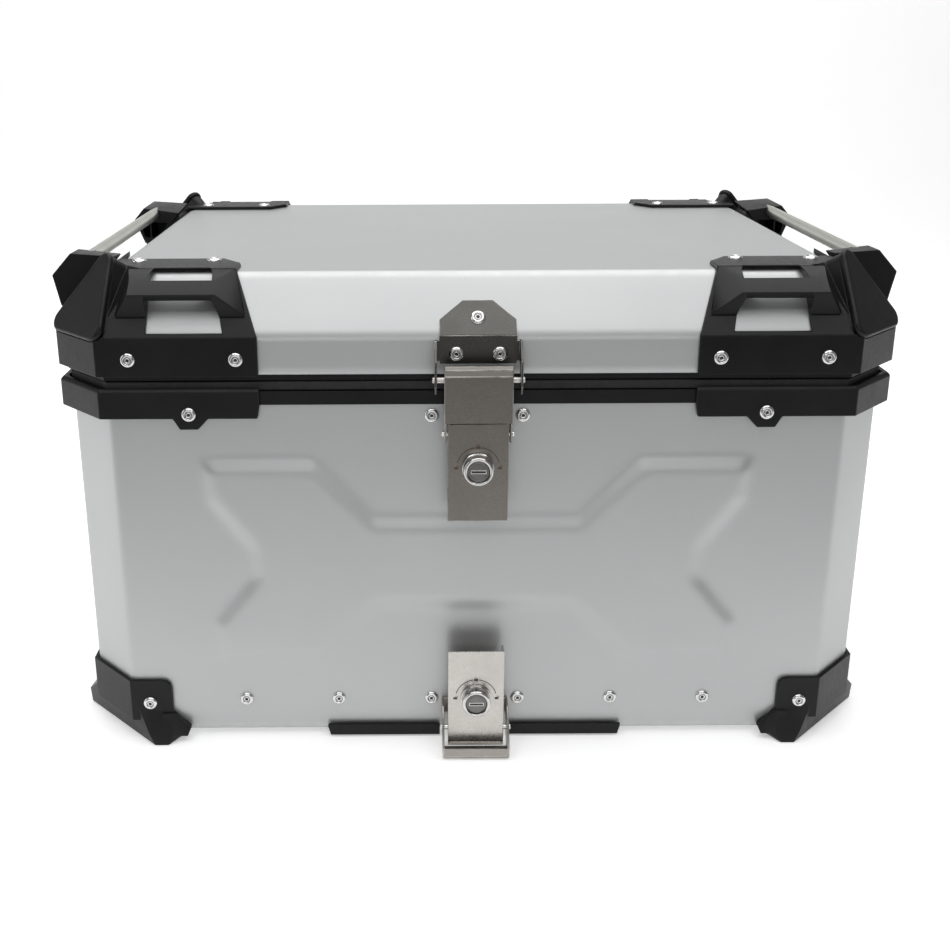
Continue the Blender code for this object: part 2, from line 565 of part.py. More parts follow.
# ---------------------------------------------------------------- rear hinges
for sx, side in ((-1, "left"), (1, "right")):
    x0 = sx * HINGE_X
    rear = DEPTH - BODY_Y
    lower = box(f"hinge_lower_leaf_{side}", (x0 - 22, x0 + 22), (414.2, 416.2), (236, 279.5), STEEL)
    plus(lower, box(f"hinge_lower_pad_{side}", (x0 - 22, x0 + 22), (rear + GAP, 415), (236, 263), STEEL))
    for k, (a, b) in enumerate(((-22, -8), (8, 22))):
        plus(lower, drum(f"hinge_lower_knuckle_{side}_{k}", (x0 + a, HINGE_Y, HINGE_Z), (1, 0, 0), 4.6, b - a, STEEL, 16))
        plus(lower, hull(f"hinge_lower_web_{side}_{k}", [(x0 + x, y, z) for x in (a, b) for y, z in ((414.2, 270), (416.2, 270), (414.2, 279.5), (419.5, 279.2), (424.2, 279.8))], STEEL))
    minus(lower, drum(f"hinge_lower_bore_{side}", (x0 - 30, HINGE_Y, HINGE_Z), (1, 0, 0), 2.4, 60, STEEL, 16))
    upper = box(f"hinge_upper_leaf_{side}", (x0 - 22, x0 + 22), (DEPTH - LID_Y + GAP, 415.2), (291, 314), STEEL)
    plus(upper, drum(f"hinge_upper_knuckle_{side}", (x0 - 7.6, HINGE_Y, HINGE_Z), (1, 0, 0), 4.6, 15.2, STEEL, 16))
    plus(upper, hull(f"hinge_upper_web_{side}", [(x0 + x, y, z) for x in (-7.6, 7.6) for y, z in ((413.1, 292), (415.2, 296), (417.5, 285.5), (421.5, 287.2), (418.6, 284.2))], STEEL))
    minus(upper, drum(f"hinge_upper_bore_{side}", (x0 - 30, HINGE_Y, HINGE_Z), (1, 0, 0), 2.4, 60, STEEL, 16))
    pin = drum(f"hinge_pin_{side}", (x0 - 22.4, HINGE_Y, HINGE_Z), (1, 0, 0), 2.2, 44.8, BRIGHT, 16)
    plus(pin, drum(f"hinge_pin_head_{side}", (x0 - 24.2, HINGE_Y, HINGE_Z), (1, 0, 0), 3.6, 1.8, BRIGHT, 16))

# ---------------------------------------------------------------- lid catch: bracket with ears and a rod
SLOPE = Vector((0, 32.0, 39.0)).normalized()
SLOPE_N = Vector((0, -39.0, 32.0)).normalized()


def on_slope(x, z, lift):
    """A point over the lid's front slope at height z, lifted off it."""
    t = (z - LID_FOLD) / SLOPE.z
    p = Vector((x, LID_Y, LID_FOLD)) + SLOPE * t + SLOPE_N * lift
    return tuple(p)


bracket = hull(
    "lid_latch_bracket",
    [(x, y, z) for x in (-26.8, 26.8) for y, z in ((1.3, 296.5), (2.9, 296.5), (2.9, 315.6), (1.3, 316.4))],
    BRIGHT,
)
slope_plate = hull(
    "bracket_slope_plate",
    [on_slope(x, z, lift) for x, z in ((-26.4, 316.2), (26.4, 316.2), (-26.4, 325.2), (26.4, 325.2), (-10.6, 336.5), (10.6, 336.5)) for lift in (0.35, 1.9)]
    + [(x, 1.3, 315.8) for x in (-26.4, 26.4)],
    BRIGHT,
)
plus(bracket, slope_plate)
EAR = [(2.9, 313.5), (-2.5, 313.5), (-13.5, 302.0), (-14.0, 284.0), (-9.5, 277.5), (-3.5, 278.5), (-1.0, 283.0), (-0.6, 296.5), (2.9, 298.0)]
for sx, side in ((-1, "left"), (1, "right")):
    lo, hi = sorted((sx * 28.6, sx * 30.2))
    plus(bracket, side_plate(f"bracket_ear_{side}", EAR, (lo, hi), BRIGHT))
    lo, hi = sorted((sx * 26.0, sx * 30.2))
    plus(bracket, box(f"bracket_bend_{side}", (lo, hi), (1.3, 2.9), (298.5, 313.2), BRIGHT))
minus(
    bracket,
    drum("bracket_rod_hole", (-35, ROD_Y, ROD_Z), (1, 0, 0), 2.45, 70, sides=16),
    *shank_holes("bracket_hole", [(-15.0, 303.7), (15.0, 303.7)], -5, 12),
)
rod = drum("lid_latch_rod", (-30.6, ROD_Y, ROD_Z), (1, 0, 0), 2.2, 61.2, BRIGHT, 16)
plus(rod, drum("rod_head_left", (-31.8, ROD_Y, ROD_Z), (1, 0, 0), 3.4, 1.4, BRIGHT, 16), drum("rod_head_right", (30.4, ROD_Y, ROD_Z), (1, 0, 0), 3.4, 1.4, BRIGHT, 16))
rivet_row("latch_bracket_rivets", [(-15.0, 303.7), (15.0, 303.7)], 1.3 - GAP, 1, box("bracket_rivet_strip", (-22, 22), (LID_Y + WALL + GAP, LID_Y + WALL + GAP + 1.5), (298.5, 309), BRIGHT), 5.2)

# ---------------------------------------------------------------- draw latch on the body
base = box("latch_base", (-18.2, 18.2), (2.1, 3.7), (208, 266), STEEL)
BASE_EAR = [(3.0, 267.5), (-8.5, 267.5), (-11.0, 264.5), (-11.0, 258.5), (-7.5, 255.8), (0.5, 252.0), (3.0, 248.0)]
for sx, side in ((-1, "left"), (1, "right")):
    lo, hi = sorted((sx * 16.6, sx * 18.2))
    plus(base, side_plate(f"base_ear_{side}", [(y, min(z, 266.0)) if y > 1.0 else (y, z) for y, z in BASE_EAR], (lo, hi), STEEL))
keeper = side_plate("base_keeper", [(3.0, 243.0), (3.0, 241.4), (-5.2, 241.4), (-5.2, 236.4), (-6.6, 236.4), (-6.6, 243.0)], (-6.0, 6.0), STEEL)
plus(base, keeper)
minus(base, drum("base_pivot_hole", (-30, LEVER_Y, LEVER_Z), (1, 0, 0), 2.25, 60, sides=16))
drum("lever_pin", (-21.0, LEVER_Y, LEVER_Z), (1, 0, 0), 2.0, 42.0, BRIGHT, 16)

lever = box("latch_lever", (-21.2, 21.2), (-12.5, -11.0), (185.0, 257.0), STEEL)
CHEEK = [(-12.5, 188.0), (-12.5, 257.0), (-9.5, 266.3), (-3.5, 266.6), (-0.8, 260.5), (-2.2, 243.0), (-4.0, 190.0), (-6.5, 185.0), (-10.5, 185.0)]
for sx, side in ((-1, "left"), (1, "right")):
    lo, hi = sorted((sx * 19.7, sx * 21.2))
    plus(lever, side_plate(f"lever_cheek_{side}", CHEEK, (lo, hi), STEEL))
minus(
    lever,
    drum("lever_pivot_hole", (-30, LEVER_Y, LEVER_Z), (1, 0, 0), 2.3, 60, sides=16),
    drum("lever_link_hole", (-30, LINK_Y, LINK_Z), (1, 0, 0), 2.3, 60, sides=16),
    drum("lever_lock_hole", (0, -20, UPPER_LOCK_Z), (0, 1, 0), 8.9, 20, sides=24),
)
pivot(lever, 0, LEVER_Y, LEVER_Z)

link = hull("latch_link", [(x, y, z) for x in (-23.6, 23.6) for y, z in ((-14.8, 258.3), (-13.3, 258.3), (-13.3, 291.6), (-14.8, 291.6))], STEEL)
plus(
    link,
    hull("link_roll_low", [(x, y, z) for x in (-23.6, 23.6) for y, z in ((-14.8, 291.5), (-13.3, 291.4), (-14.1, 296.0), (-12.7, 295.2))], STEEL),
    hull("link_roll_top", [(x, y, z) for x in (-23.6, 23.6) for y, z in ((-14.1, 295.9), (-12.7, 295.1), (-12.3, 298.6), (-11.1, 297.4))], STEEL),
)
WING = [(-14.8, 290.0), (-14.8, 258.3), (-12.0, 250.5), (-10.6, 243.8), (-8.4, 242.2), (-3.4, 242.4), (-1.7, 245.0), (-1.6, 251.0), (-5.5, 259.0), (-11.0, 281.0), (-12.0, 290.0)]
for sx, side in ((-1, "left"), (1, "right")):
    lo, hi = sorted((sx * 22.1, sx * 23.6))
    plus(link, side_plate(f"link_wing_{side}", WING, (lo, hi), STEEL))
minus(link, drum("link_pivot_hole", (-30, LINK_Y, LINK_Z), (1, 0, 0), 2.3, 60, sides=16))
pivot(link, 0, LINK_Y, LINK_Z)
link_pin = drum("link_pin", (-24.2, LINK_Y, LINK_Z), (1, 0, 0), 2.0, 48.4, BRIGHT, 16)
plus(link_pin, drum("link_pin_head_left", (-25.4, LINK_Y, LINK_Z), (1, 0, 0), 3.2, 1.3, BRIGHT, 16), drum("link_pin_head_right", (24.1, LINK_Y, LINK_Z), (1, 0, 0), 3.2, 1.3, BRIGHT, 16))
pivot(link_pin, 0, LINK_Y, LINK_Z)


def lock(prefix, z, face, deep):
    """A key lock through a plate: bezel with its barrel, plug with a key slot, cam behind. face is the plate's front y."""
    bezel = turned(
        f"{prefix}_lock_bezel",
        [(7.9, -9.6), (9.6, -9.6), (10.4, -8.6), (10.4, -1.6), (11.3, -1.6), (11.3, -0.3), (8.6, -0.3), (8.6, deep - 1.2), (7.9, deep - 1.2)],
        (0, face, z),
        BRIGHT,
    )
    plug = turned(f"{prefix}_lock_plug", [(0, -9.0), (7.0, -9.0), (7.6, -8.4), (7.6, deep - 0.2), (0, deep - 0.2)], (0, face, z), STEEL)
    minus(plug, box(f"{prefix}_key_slot", (-5.0, 5.0), (face - 12, face - 4.5), (z - 0.9, z + 0.9)))
    cam = hull(
        f"{prefix}_lock_cam",
        [(x, y, z + dz) for y in (face + deep + 0.1, face + deep + 1.9) for x, dz in ((5.0, -5.5), (5.0, 5.5), (-6.0, 5.5), (-12.8, 2.4), (-12.8, -2.4), (-6.0, -5.5))],
        STEEL,
    )
    pivot(plug, 0, face, z)
    pivot(cam, 0, face, z)
    return bezel, plug, cam


lock("upper", UPPER_LOCK_Z, -12.5, 8.6)

# ---------------------------------------------------------------- quick-release latch
claw = box("lower_latch_claw", (-24.8, 24.8), (2.1, 3.7), (22, 34), STEEL)
plus(claw, box("claw_back", (-18, 18), (2.1, 3.7), (30, 68), STEEL))
CLAW_EAR = [(3.6, 34.0), (-9.0, 34.0), (-17.0, 27.5), (-26.6, 13.0), (-28.0, 8.0), (-27.6, 2.4), (-25.6, 0.7), (-12.0, 0.7), (-5.0, 6.0), (-1.0, 20.0), (3.6, 22.0)]
for sx, side in ((-1, "left"), (1, "right")):
    lo, hi = sorted((sx * 23.2, sx * 24.8))
    plus(claw, side_plate(f"claw_ear_{side}", CLAW_EAR, (lo, hi), STEEL))
plus(
    claw,
    hull("claw_lip", [(x, y, z) for x in (-24.0, 24.0) for y, z in ((-28.0, 9.6), (-26.5, 9.6), (-28.0, 3.0), (-26.5, 3.0), (-27.0, 1.2), (-25.6, 2.2))], STEEL),
    hull("claw_web", [(x, y, z) for x in (-24.0, 24.0) for y, z in ((-27.2, 1.4), (-26.0, 0.7), (-12.5, 0.7), (-12.5, 2.2), (-25.8, 2.4))], STEEL),
    side_plate("claw_keeper", [(3.0, 63.6), (3.0, 62.0), (-7.2, 62.0), (-7.2, 57.0), (-8.6, 57.0), (-8.6, 63.6)], (-6.0, 6.0), STEEL),
)
minus(claw, drum("claw_pivot_hole", (-30, LOWER_Y, LOWER_Z), (1, 0, 0), 2.25, 60, sides=16))
lower_pin = drum("lower_latch_pin", (-25.6, LOWER_Y, LOWER_Z), (1, 0, 0), 2.0, 51.2, BRIGHT, 16)
plus(lower_pin, drum("lower_pin_head_left", (-26.2, LOWER_Y, LOWER_Z), (1, 0, 0), 3.0, 1.1, BRIGHT, 16), drum("lower_pin_head_right", (25.1, LOWER_Y, LOWER_Z), (1, 0, 0), 3.0, 1.1, BRIGHT, 16))

release = box("lower_latch_plate", (-20.5, 20.5), (-18.0, -16.5), (9.0, 84.3), BRIGHT)
SIDE = [(-18.0, 83.0), (-17.0, 84.3), (-8.0, 84.3), (-7.0, 80.0), (-7.5, 30.0), (-8.5, 14.5), (-12.0, 12.6), (-16.0, 6.0), (-18.0, 9.0)]
for sx, side in ((-1, "left"), (1, "right")):
    lo, hi = sorted((sx * 19.0, sx * 20.5))
    plus(release, side_plate(f"release_side_{side}", SIDE, (lo, hi), BRIGHT))
plus(release, hull("release_bend", [(x, y, z) for x in (-20.5, 20.5) for y, z in ((-18.0, 9.2), (-16.5, 9.2), (-16.4, 5.4), (-15.2, 6.2), (-17.4, 6.6))], BRIGHT))
minus(
    release,
    drum("release_pivot_hole", (-30, LOWER_Y, LOWER_Z), (1, 0, 0), 2.3, 60, sides=16),
    drum("release_lock_hole", (0, -25, LOWER_LOCK_Z), (0, 1, 0), 8.9, 20, sides=24),
)
pivot(release, 0, LOWER_Y, LOWER_Z)
lock("lower", LOWER_LOCK_Z, -18.0, 11.8)

# ---------------------------------------------------------------- shading
bpy.context.view_layer.update()
for ob in case.objects:
    if any(k in ob.name for k in ("rivet", "pin", "rod", "lock", "rail", "knuckle")):
        ob.data.shade_smooth()
        ob.data.set_sharp_from_angle(angle=math.radians(35))
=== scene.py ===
"""Visual model of the aluminium top case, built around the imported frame. Design lengths are millimetres, y from the front of the corner mouldings."""

import json
import math

import bmesh
import bpy
import numpy as np
from mathutils import Matrix, Vector
from mathutils.bvhtree import BVHTree


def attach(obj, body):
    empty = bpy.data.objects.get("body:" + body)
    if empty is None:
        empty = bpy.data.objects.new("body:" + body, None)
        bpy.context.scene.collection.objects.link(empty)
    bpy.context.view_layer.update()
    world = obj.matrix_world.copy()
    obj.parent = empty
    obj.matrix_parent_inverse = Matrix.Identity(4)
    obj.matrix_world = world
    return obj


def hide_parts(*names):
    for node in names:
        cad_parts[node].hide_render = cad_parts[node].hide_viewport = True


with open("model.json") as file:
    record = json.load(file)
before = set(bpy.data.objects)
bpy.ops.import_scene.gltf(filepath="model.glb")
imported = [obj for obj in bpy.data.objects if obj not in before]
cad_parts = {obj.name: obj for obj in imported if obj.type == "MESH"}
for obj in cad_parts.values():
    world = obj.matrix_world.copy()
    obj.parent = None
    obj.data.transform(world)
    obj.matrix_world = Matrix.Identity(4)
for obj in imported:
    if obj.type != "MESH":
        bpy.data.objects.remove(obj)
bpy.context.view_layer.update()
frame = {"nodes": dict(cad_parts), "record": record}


NODES = frame["nodes"]
BODY_OF = {n: b for b, members in frame["record"]["behaviour"]["bodies"].items() for n in members}

MM = 0.001
DEPTH = 416.0
Y_MID = 199.05


def at(x, y, z):
    return Vector((x * MM, (y - Y_MID) * MM, z * MM))


# ================================================================= camera
cam_data = bpy.data.cameras.new("camera")
cam = bpy.data.objects.new("camera", cam_data)
bpy.context.scene.collection.objects.link(cam)
cam_data.lens = 44.1
cam_data.sensor_width = 36.0
cam_data.shift_x = 0.0582
cam_data.shift_y = -0.0821
cam_data.clip_start = 0.01
cam.matrix_world = (
    Matrix.Translation((-0.0404, -0.97113, 0.5116))
    @ Matrix.Rotation(math.radians(90 - 17.162), 4, "X")
    @ Matrix.Rotation(math.radians(-0.268), 4, "Z")
)
bpy.context.scene.camera = cam
bpy.context.scene.view_settings.view_transform = "Standard"


# ================================================================= materials
def shader(name):
    m = bpy.data.materials.new("look_" + name)
    m.use_nodes = True
    return m, m.node_tree, m.node_tree.nodes["Principled BSDF"]


class Net:
    """Short calls for making and linking nodes."""

    def __init__(self, tree):
        self.t = tree
        self.coords = tree.nodes.new("ShaderNodeTexCoord").outputs["Object"]

    def link(self, a, b):
        self.t.links.new(a, b)

    def scaled(self, x, y, z, turn=(0, 0, 0)):
        n = self.t.nodes.new("ShaderNodeMapping")
        n.inputs["Scale"].default_value = (x, y, z)
        n.inputs["Rotation"].default_value = turn
        self.link(self.coords, n.inputs["Vector"])
        return n.outputs["Vector"]

    def noise(self, scale, detail=3.0, rough=0.5, vector=None):
        n = self.t.nodes.new("ShaderNodeTexNoise")
        n.inputs["Scale"].default_value = scale
        n.inputs["Detail"].default_value = detail
        n.inputs["Roughness"].default_value = rough
        self.link(vector or self.coords, n.inputs["Vector"])
        return n.outputs["Fac"]

    def cells(self, scale, vector=None, feature="F1"):
        n = self.t.nodes.new("ShaderNodeTexVoronoi")
        n.feature = feature
        n.inputs["Scale"].default_value = scale
        self.link(vector or self.coords, n.inputs["Vector"])
        return n.outputs["Distance"]

    def span(self, value, a, b, c, d):
        n = self.t.nodes.new("ShaderNodeMapRange")
        for k, v in (("From Min", a), ("From Max", b), ("To Min", c), ("To Max", d)):
            n.inputs[k].default_value = v
        self.link(value, n.inputs["Value"])
        return n.outputs["Result"]

    def maths(self, op, a, b):
        n = self.t.nodes.new("ShaderNodeMath")
        n.operation = op
        for i, v in enumerate((a, b)):
            if isinstance(v, (int, float)):
                n.inputs[i].default_value = v
            else:
                self.link(v, n.inputs[i])
        return n.outputs[0]

    def blend(self, factor, a, b):
        n = self.t.nodes.new("ShaderNodeMix")
        n.data_type = "RGBA"
        if isinstance(factor, (int, float)):
            n.inputs[0].default_value = factor
        else:
            self.link(factor, n.inputs[0])
        for i, v in ((6, a), (7, b)):
            if isinstance(v, tuple):
                n.inputs[i].default_value = (*v, 1)
            else:
                self.link(v, n.inputs[i])
        return n.outputs[2]

    def edge_wear_and_sheen(self):
        """The edge mask that the meshes carry, broken up by noise: worn edges on the metals, and a painted edge
        highlight on the black plastic.
        """
        n = self.t.nodes.new("ShaderNodeAttribute")
        n.attribute_name = "edge_wear_and_sheen"
        return self.maths("MULTIPLY", n.outputs["Fac"], self.span(self.noise(90, 4, 0.65), 0.38, 0.72, 0.0, 1.0))

    def bump(self, *layers):
        """Layers of (height, strength, distance in mm), each over the last."""
        last = None
        for height, strength, distance in layers:
            n = self.t.nodes.new("ShaderNodeBump")
            n.inputs["Strength"].default_value = strength
            n.inputs["Distance"].default_value = distance * MM
            self.link(height, n.inputs["Height"])
            if last is not None:
                self.link(last, n.inputs["Normal"])
            last = n.outputs["Normal"]
        return last


def sheet_material():
    m, t, b = shader("satin_aluminium")
    n = Net(t)
    grain = n.noise(2600, 2, 0.6)
    fleck = n.cells(1900)
    cloud = n.noise(7, 3, 0.5)
    worn_and_sheen_edge = n.edge_wear_and_sheen()
    colour = n.blend(n.span(grain, 0.3, 0.7, 0.0, 1.0), (0.455, 0.462, 0.464), (0.515, 0.522, 0.524))
    colour = n.blend(n.span(cloud, 0.35, 0.65, 0.0, 0.35), colour, (0.47, 0.477, 0.482))
    colour = n.blend(n.span(fleck, 0.0, 0.16, 0.35, 0.0), colour, (0.60, 0.61, 0.61))
    colour = n.blend(n.maths("MULTIPLY", worn_and_sheen_edge, 0.5), colour, (0.66, 0.66, 0.655))
    n.link(colour, b.inputs["Base Color"])
    rough = n.maths("ADD", n.span(grain, 0.3, 0.7, 0.40, 0.47), n.span(cloud, 0.3, 0.7, -0.02, 0.03))
    rough = n.maths("SUBTRACT", rough, n.maths("MULTIPLY", worn_and_sheen_edge, 0.10))
    n.link(rough, b.inputs["Roughness"])
    b.inputs["Metallic"].default_value = 0.72
    n.link(n.bump((n.noise(900, 3, 0.6), 0.10, 0.05), (n.noise(60, 2, 0.5), 0.05, 0.25)), b.inputs["Normal"])
    return m


def plastic_material(name="moulded_black", dark=(0.0036, 0.0036, 0.0040), light=(0.0066, 0.0066, 0.0071), rough=(0.35, 0.43)):
    m, t, b = shader(name)
    n = Net(t)
    cloud = n.noise(22, 4, 0.6)
    grain = n.cells(1500)
    worn_and_sheen_edge = n.edge_wear_and_sheen()
    colour = n.blend(n.span(cloud, 0.3, 0.7, 0.0, 1.0), dark, light)
    # Edges made lighter from the edge mask: a painted highlight along the plastic's rounded edges.
    colour = n.blend(n.maths("MULTIPLY", worn_and_sheen_edge, 0.45), colour, (0.030, 0.030, 0.031))
    n.link(colour, b.inputs["Base Color"])
    r = n.maths("ADD", n.span(cloud, 0.3, 0.7, *rough), n.span(n.noise(260, 3, 0.7), 0.3, 0.7, -0.04, 0.04))
    n.link(n.maths("SUBTRACT", r, n.maths("MULTIPLY", worn_and_sheen_edge, 0.06)), b.inputs["Roughness"])
    b.inputs["Specular IOR Level"].default_value = 0.24
    n.link(n.bump((grain, 0.16, 0.05), (n.noise(420, 3, 0.6), 0.10, 0.05)), b.inputs["Normal"])
    return m


def rubber_material():
    m, t, b = shader("seal_rubber")
    n = Net(t)
    cloud = n.noise(40, 4, 0.6)
    n.link(n.blend(n.span(cloud, 0.3, 0.7, 0.0, 1.0), (0.006, 0.006, 0.006), (0.014, 0.014, 0.0145)), b.inputs["Base Color"])
    n.link(n.span(n.noise(500, 4, 0.7), 0.3, 0.7, 0.62, 0.82), b.inputs["Roughness"])
    n.link(n.bump((n.noise(1300, 3, 0.6), 0.25, 0.06)), b.inputs["Normal"])
    return m


def steel_material(name, dark, light, rough, brush=(900, 900, 1700), bump=0.025, smudge=0.035):
    m, t, b = shader(name)
    n = Net(t)
    lines = n.noise(1.0, 4, 0.65, n.scaled(*brush))
    cloud = n.noise(45, 4, 0.6)
    worn_and_sheen_edge = n.edge_wear_and_sheen()
    colour = n.blend(n.span(lines, 0.3, 0.7, 0.0, 1.0), dark, light)
    colour = n.blend(n.span(cloud, 0.45, 0.75, 0.0, 0.3), colour, tuple(0.86 * v for v in dark))
    colour = n.blend(n.maths("MULTIPLY", worn_and_sheen_edge, 0.7), colour, (0.80, 0.79, 0.77))
    n.link(colour, b.inputs["Base Color"])
    r = n.maths("ADD", n.span(lines, 0.3, 0.7, *rough), n.span(cloud, 0.3, 0.7, -smudge, smudge))
    n.link(n.maths("SUBTRACT", r, n.maths("MULTIPLY", worn_and_sheen_edge, 0.05)), b.inputs["Roughness"])
    b.inputs["Metallic"].default_value = 1.0
    n.link(n.bump((lines, bump, 0.03), (n.noise(900, 2, 0.6), bump, 0.02)), b.inputs["Normal"])
    return m


# Fine-speckled flat colour: real print for the lock marks, and painted shade for the dark fills in holes.
def print_and_shade_material(name, colour_a, colour_b):
    m, t, b = shader(name)
    n = Net(t)
    n.link(n.blend(n.span(n.noise(1400, 3, 0.6), 0.35, 0.65, 0.0, 1.0), colour_a, colour_b), b.inputs["Base Color"])
    n.link(n.span(n.noise(500, 3, 0.6), 0.3, 0.7, 0.45, 0.62), b.inputs["Roughness"])
    n.link(n.bump((n.noise(2200, 2, 0.6), 0.12, 0.02)), b.inputs["Normal"])
    return m


SHEET = sheet_material()
PLASTIC = plastic_material()
RUBBER = rubber_material()
SATIN = steel_material("satin_steel", (0.30, 0.28, 0.255), (0.40, 0.38, 0.35), (0.27, 0.36))
# Steel made much darker than the other steels: painted shade, standing for the shade below the bracket's bend.
SHADED_BRACKET_STEEL = steel_material("bracket_steel_painted_shade", (0.088, 0.085, 0.079), (0.114, 0.111, 0.104), (0.25, 0.33))
LOCK_FACE = steel_material("lock_face", (0.155, 0.15, 0.145), (0.21, 0.205, 0.20), (0.28, 0.38), (900, 900, 900))
LEVER = steel_material("lever_steel", (0.185, 0.172, 0.155), (0.25, 0.235, 0.215), (0.28, 0.38))
BRIGHT = steel_material("bright_steel", (0.50, 0.48, 0.45), (0.60, 0.58, 0.55), (0.24, 0.33))
POLISHED = steel_material("polished_rivet", (0.66, 0.66, 0.655), (0.78, 0.78, 0.775), (0.12, 0.20), (400, 400, 400), 0.03, 0.03)
CHROME = steel_material("lock_chrome", (0.56, 0.555, 0.545), (0.68, 0.675, 0.665), (0.09, 0.15), (300, 300, 300), 0.02, 0.02)
RAIL = steel_material("champagne_tube", (0.50, 0.50, 0.455), (0.60, 0.60, 0.555), (0.30, 0.38), (500, 8, 500), 0.03, 0.02)
# Near-black fill set into the key slots and rivet bores: painted shade standing for the dark inside of those holes.
PAINTED_HOLE_SHADE = print_and_shade_material("painted_recess_shade", (0.010, 0.010, 0.010), (0.020, 0.020, 0.020))
INK_DARK = print_and_shade_material("printed_black", (0.020, 0.018, 0.016), (0.040, 0.036, 0.032))
INK_BROWN = print_and_shade_material("printed_brown", (0.070, 0.038, 0.018), (0.105, 0.060, 0.030))

# ================================================================= mesh tools
model = bpy.data.collections.new("top_case")
bpy.context.scene.collection.children.link(model)


def piece(name, bm, mat, body, replaces=(), sharp=38.0, weighted=True, slot=None):
    """bm made into an object that rides on body, shaded smooth but for its sharp edges."""
    bm.normal_update()
    for f in bm.faces:
        f.smooth = True
    for e in bm.edges:
        if len(e.link_faces) == 2:
            e.smooth = e.calc_face_angle(0.0) < math.radians(sharp)
    mesh = bpy.data.meshes.new(name)
    bm.to_mesh(mesh)
    bm.free()
    mesh.materials.append(mat)
    ob = bpy.data.objects.new(name, mesh)
    model.objects.link(ob)
    if weighted:
        w = ob.modifiers.new("normals", "WEIGHTED_NORMAL")
        w.weight = 80
        w.keep_sharp = True
    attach(ob, body)
    if replaces:
        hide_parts(*replaces)
    return ob


def edge_wear_and_sheen_layer(bm):
    return bm.verts.layers.float.get("edge_wear_and_sheen") or bm.verts.layers.float.new("edge_wear_and_sheen")


def rounded(bm, edges, width, segments=3):
    """Bevels edges and marks the middle of each new strip in the edge mask, which the metals show as wear and the black
    plastic as a painted edge highlight.
    """
    edges = [e for e in edges if e.is_valid]
    if not edges:
        return
    layer = edge_wear_and_sheen_layer(bm)
    before = BVHTree.FromBMesh(bm)
    made = bmesh.ops.bevel(
        bm, geom=edges, offset=width * MM, offset_type="OFFSET", segments=segments, profile=0.5, affect="EDGES", clamp_overlap=False, loop_slide=True
    )
    for v in made["verts"]:
        near, _, _, gap = before.find_nearest(v.co)
        if gap is not None and gap > 0.7 * width * MM:
            v.co = near
    strip = set(made["faces"])
    for v in made["verts"]:
        if v.is_valid and v.link_faces and all(f in strip for f in v.link_faces):
            v[layer] = 1.0
    bmesh.ops.dissolve_degenerate(bm, dist=2e-6, edges=bm.edges)


def from_cad(node, angle=0.6):
    """The CAD node's shape with its flat faces made whole."""
    bm = bmesh.new()
    bm.from_mesh(NODES[node].data)
    edge_wear_and_sheen_layer(bm)
    bmesh.ops.remove_doubles(bm, verts=bm.verts, dist=3e-6)
    bmesh.ops.dissolve_degenerate(bm, dist=1e-6, edges=bm.edges)
    bmesh.ops.dissolve_limit(bm, angle_limit=math.radians(angle), verts=bm.verts, edges=bm.edges)
    bm.normal_update()
    return bm


def creases(bm, least=24.0, most=180.0, where=None):
    found = []
    for e in bm.edges:
        if len(e.link_faces) != 2:
            continue
        a = math.degrees(e.calc_face_angle(0.0))
        if least <= a <= most and (where is None or where(e)):
            found.append(e)
    return found


def dressed(node, name, mat, width=0.6, segments=2, least=28.0, **more):
    """A CAD node with its creases rounded."""
    bm = from_cad(node)
    rounded(bm, creases(bm, least), width, segments)
    return piece(name, bm, mat, BODY_OF[node], (node,), **more)


def solidified(ob, thickness):
    s = ob.modifiers.new("wall", "SOLIDIFY")
    s.thickness = thickness * MM
    s.offset = -1.0
    s.use_even_offset = True
    s.use_rim = True
    ob.modifiers.move(len(ob.modifiers) - 1, 0)
    return ob


def octagon_outline(half, y, cut, radius, steps):
    """Points (x, y, nx, ny, face) round a chamfered rectangle with round corners, anticlockwise from the front's left. steps: cells along front, chamfer, side."""
    y1 = DEPTH - y
    c = [(-half + cut, y), (half - cut, y), (half, y + cut), (half, y1 - cut), (half - cut, y1), (-half + cut, y1), (-half, y1 - cut), (-half, y + cut)]
    names = ["front", "chamfer", "right", "chamfer", "rear", "chamfer", "left", "chamfer"]
    counts = [steps[0], steps[1], steps[2], steps[1], steps[0], steps[1], steps[2], steps[1]]
    t = radius * math.tan(math.radians(22.5))
    out = []
    for i in range(8):
        a, b = Vector(c[i]), Vector(c[(i + 1) % 8])
        d = (b - a).normalized()
        n = Vector((d.y, -d.x))
        p, q = a + d * t, b - d * t
        for k in range(counts[i] + 1):
            s = p.lerp(q, k / counts[i])
            out.append((s.x, s.y, n.x, n.y, names[i]))
        d2 = (Vector(c[(i + 2) % 8]) - b).normalized()
        n2 = Vector((d2.y, -d2.x))
        centre = q - n * radius
        for k in range(1, 4):
            m = n.slerp(n2, k / 4)
            s = centre + m * radius
            out.append((s.x, s.y, m.x, m.y, "corner"))
    return out


def lofted(rows, cap_last=True):
    """Quads between rings of equal length, with a cap on the last."""
    bm = bmesh.new()
    edge_wear_and_sheen_layer(bm)
    rings = [[bm.verts.new(p) for p in row] for row in rows]
    for a, b in zip(rings, rings[1:]):
        for i in range(len(a)):
            j = (i + 1) % len(a)
            bm.faces.new((a[i], a[j], b[j], b[i]))
    if cap_last:
        last = rings[-1]
        middle = bm.verts.new(sum((v.co for v in last), Vector()) / len(last))
        for i in range(len(last)):
            bm.faces.new((last[i], last[(i + 1) % len(last)], middle))
    bmesh.ops.recalc_face_normals(bm, faces=bm.faces)
    return bm, rings


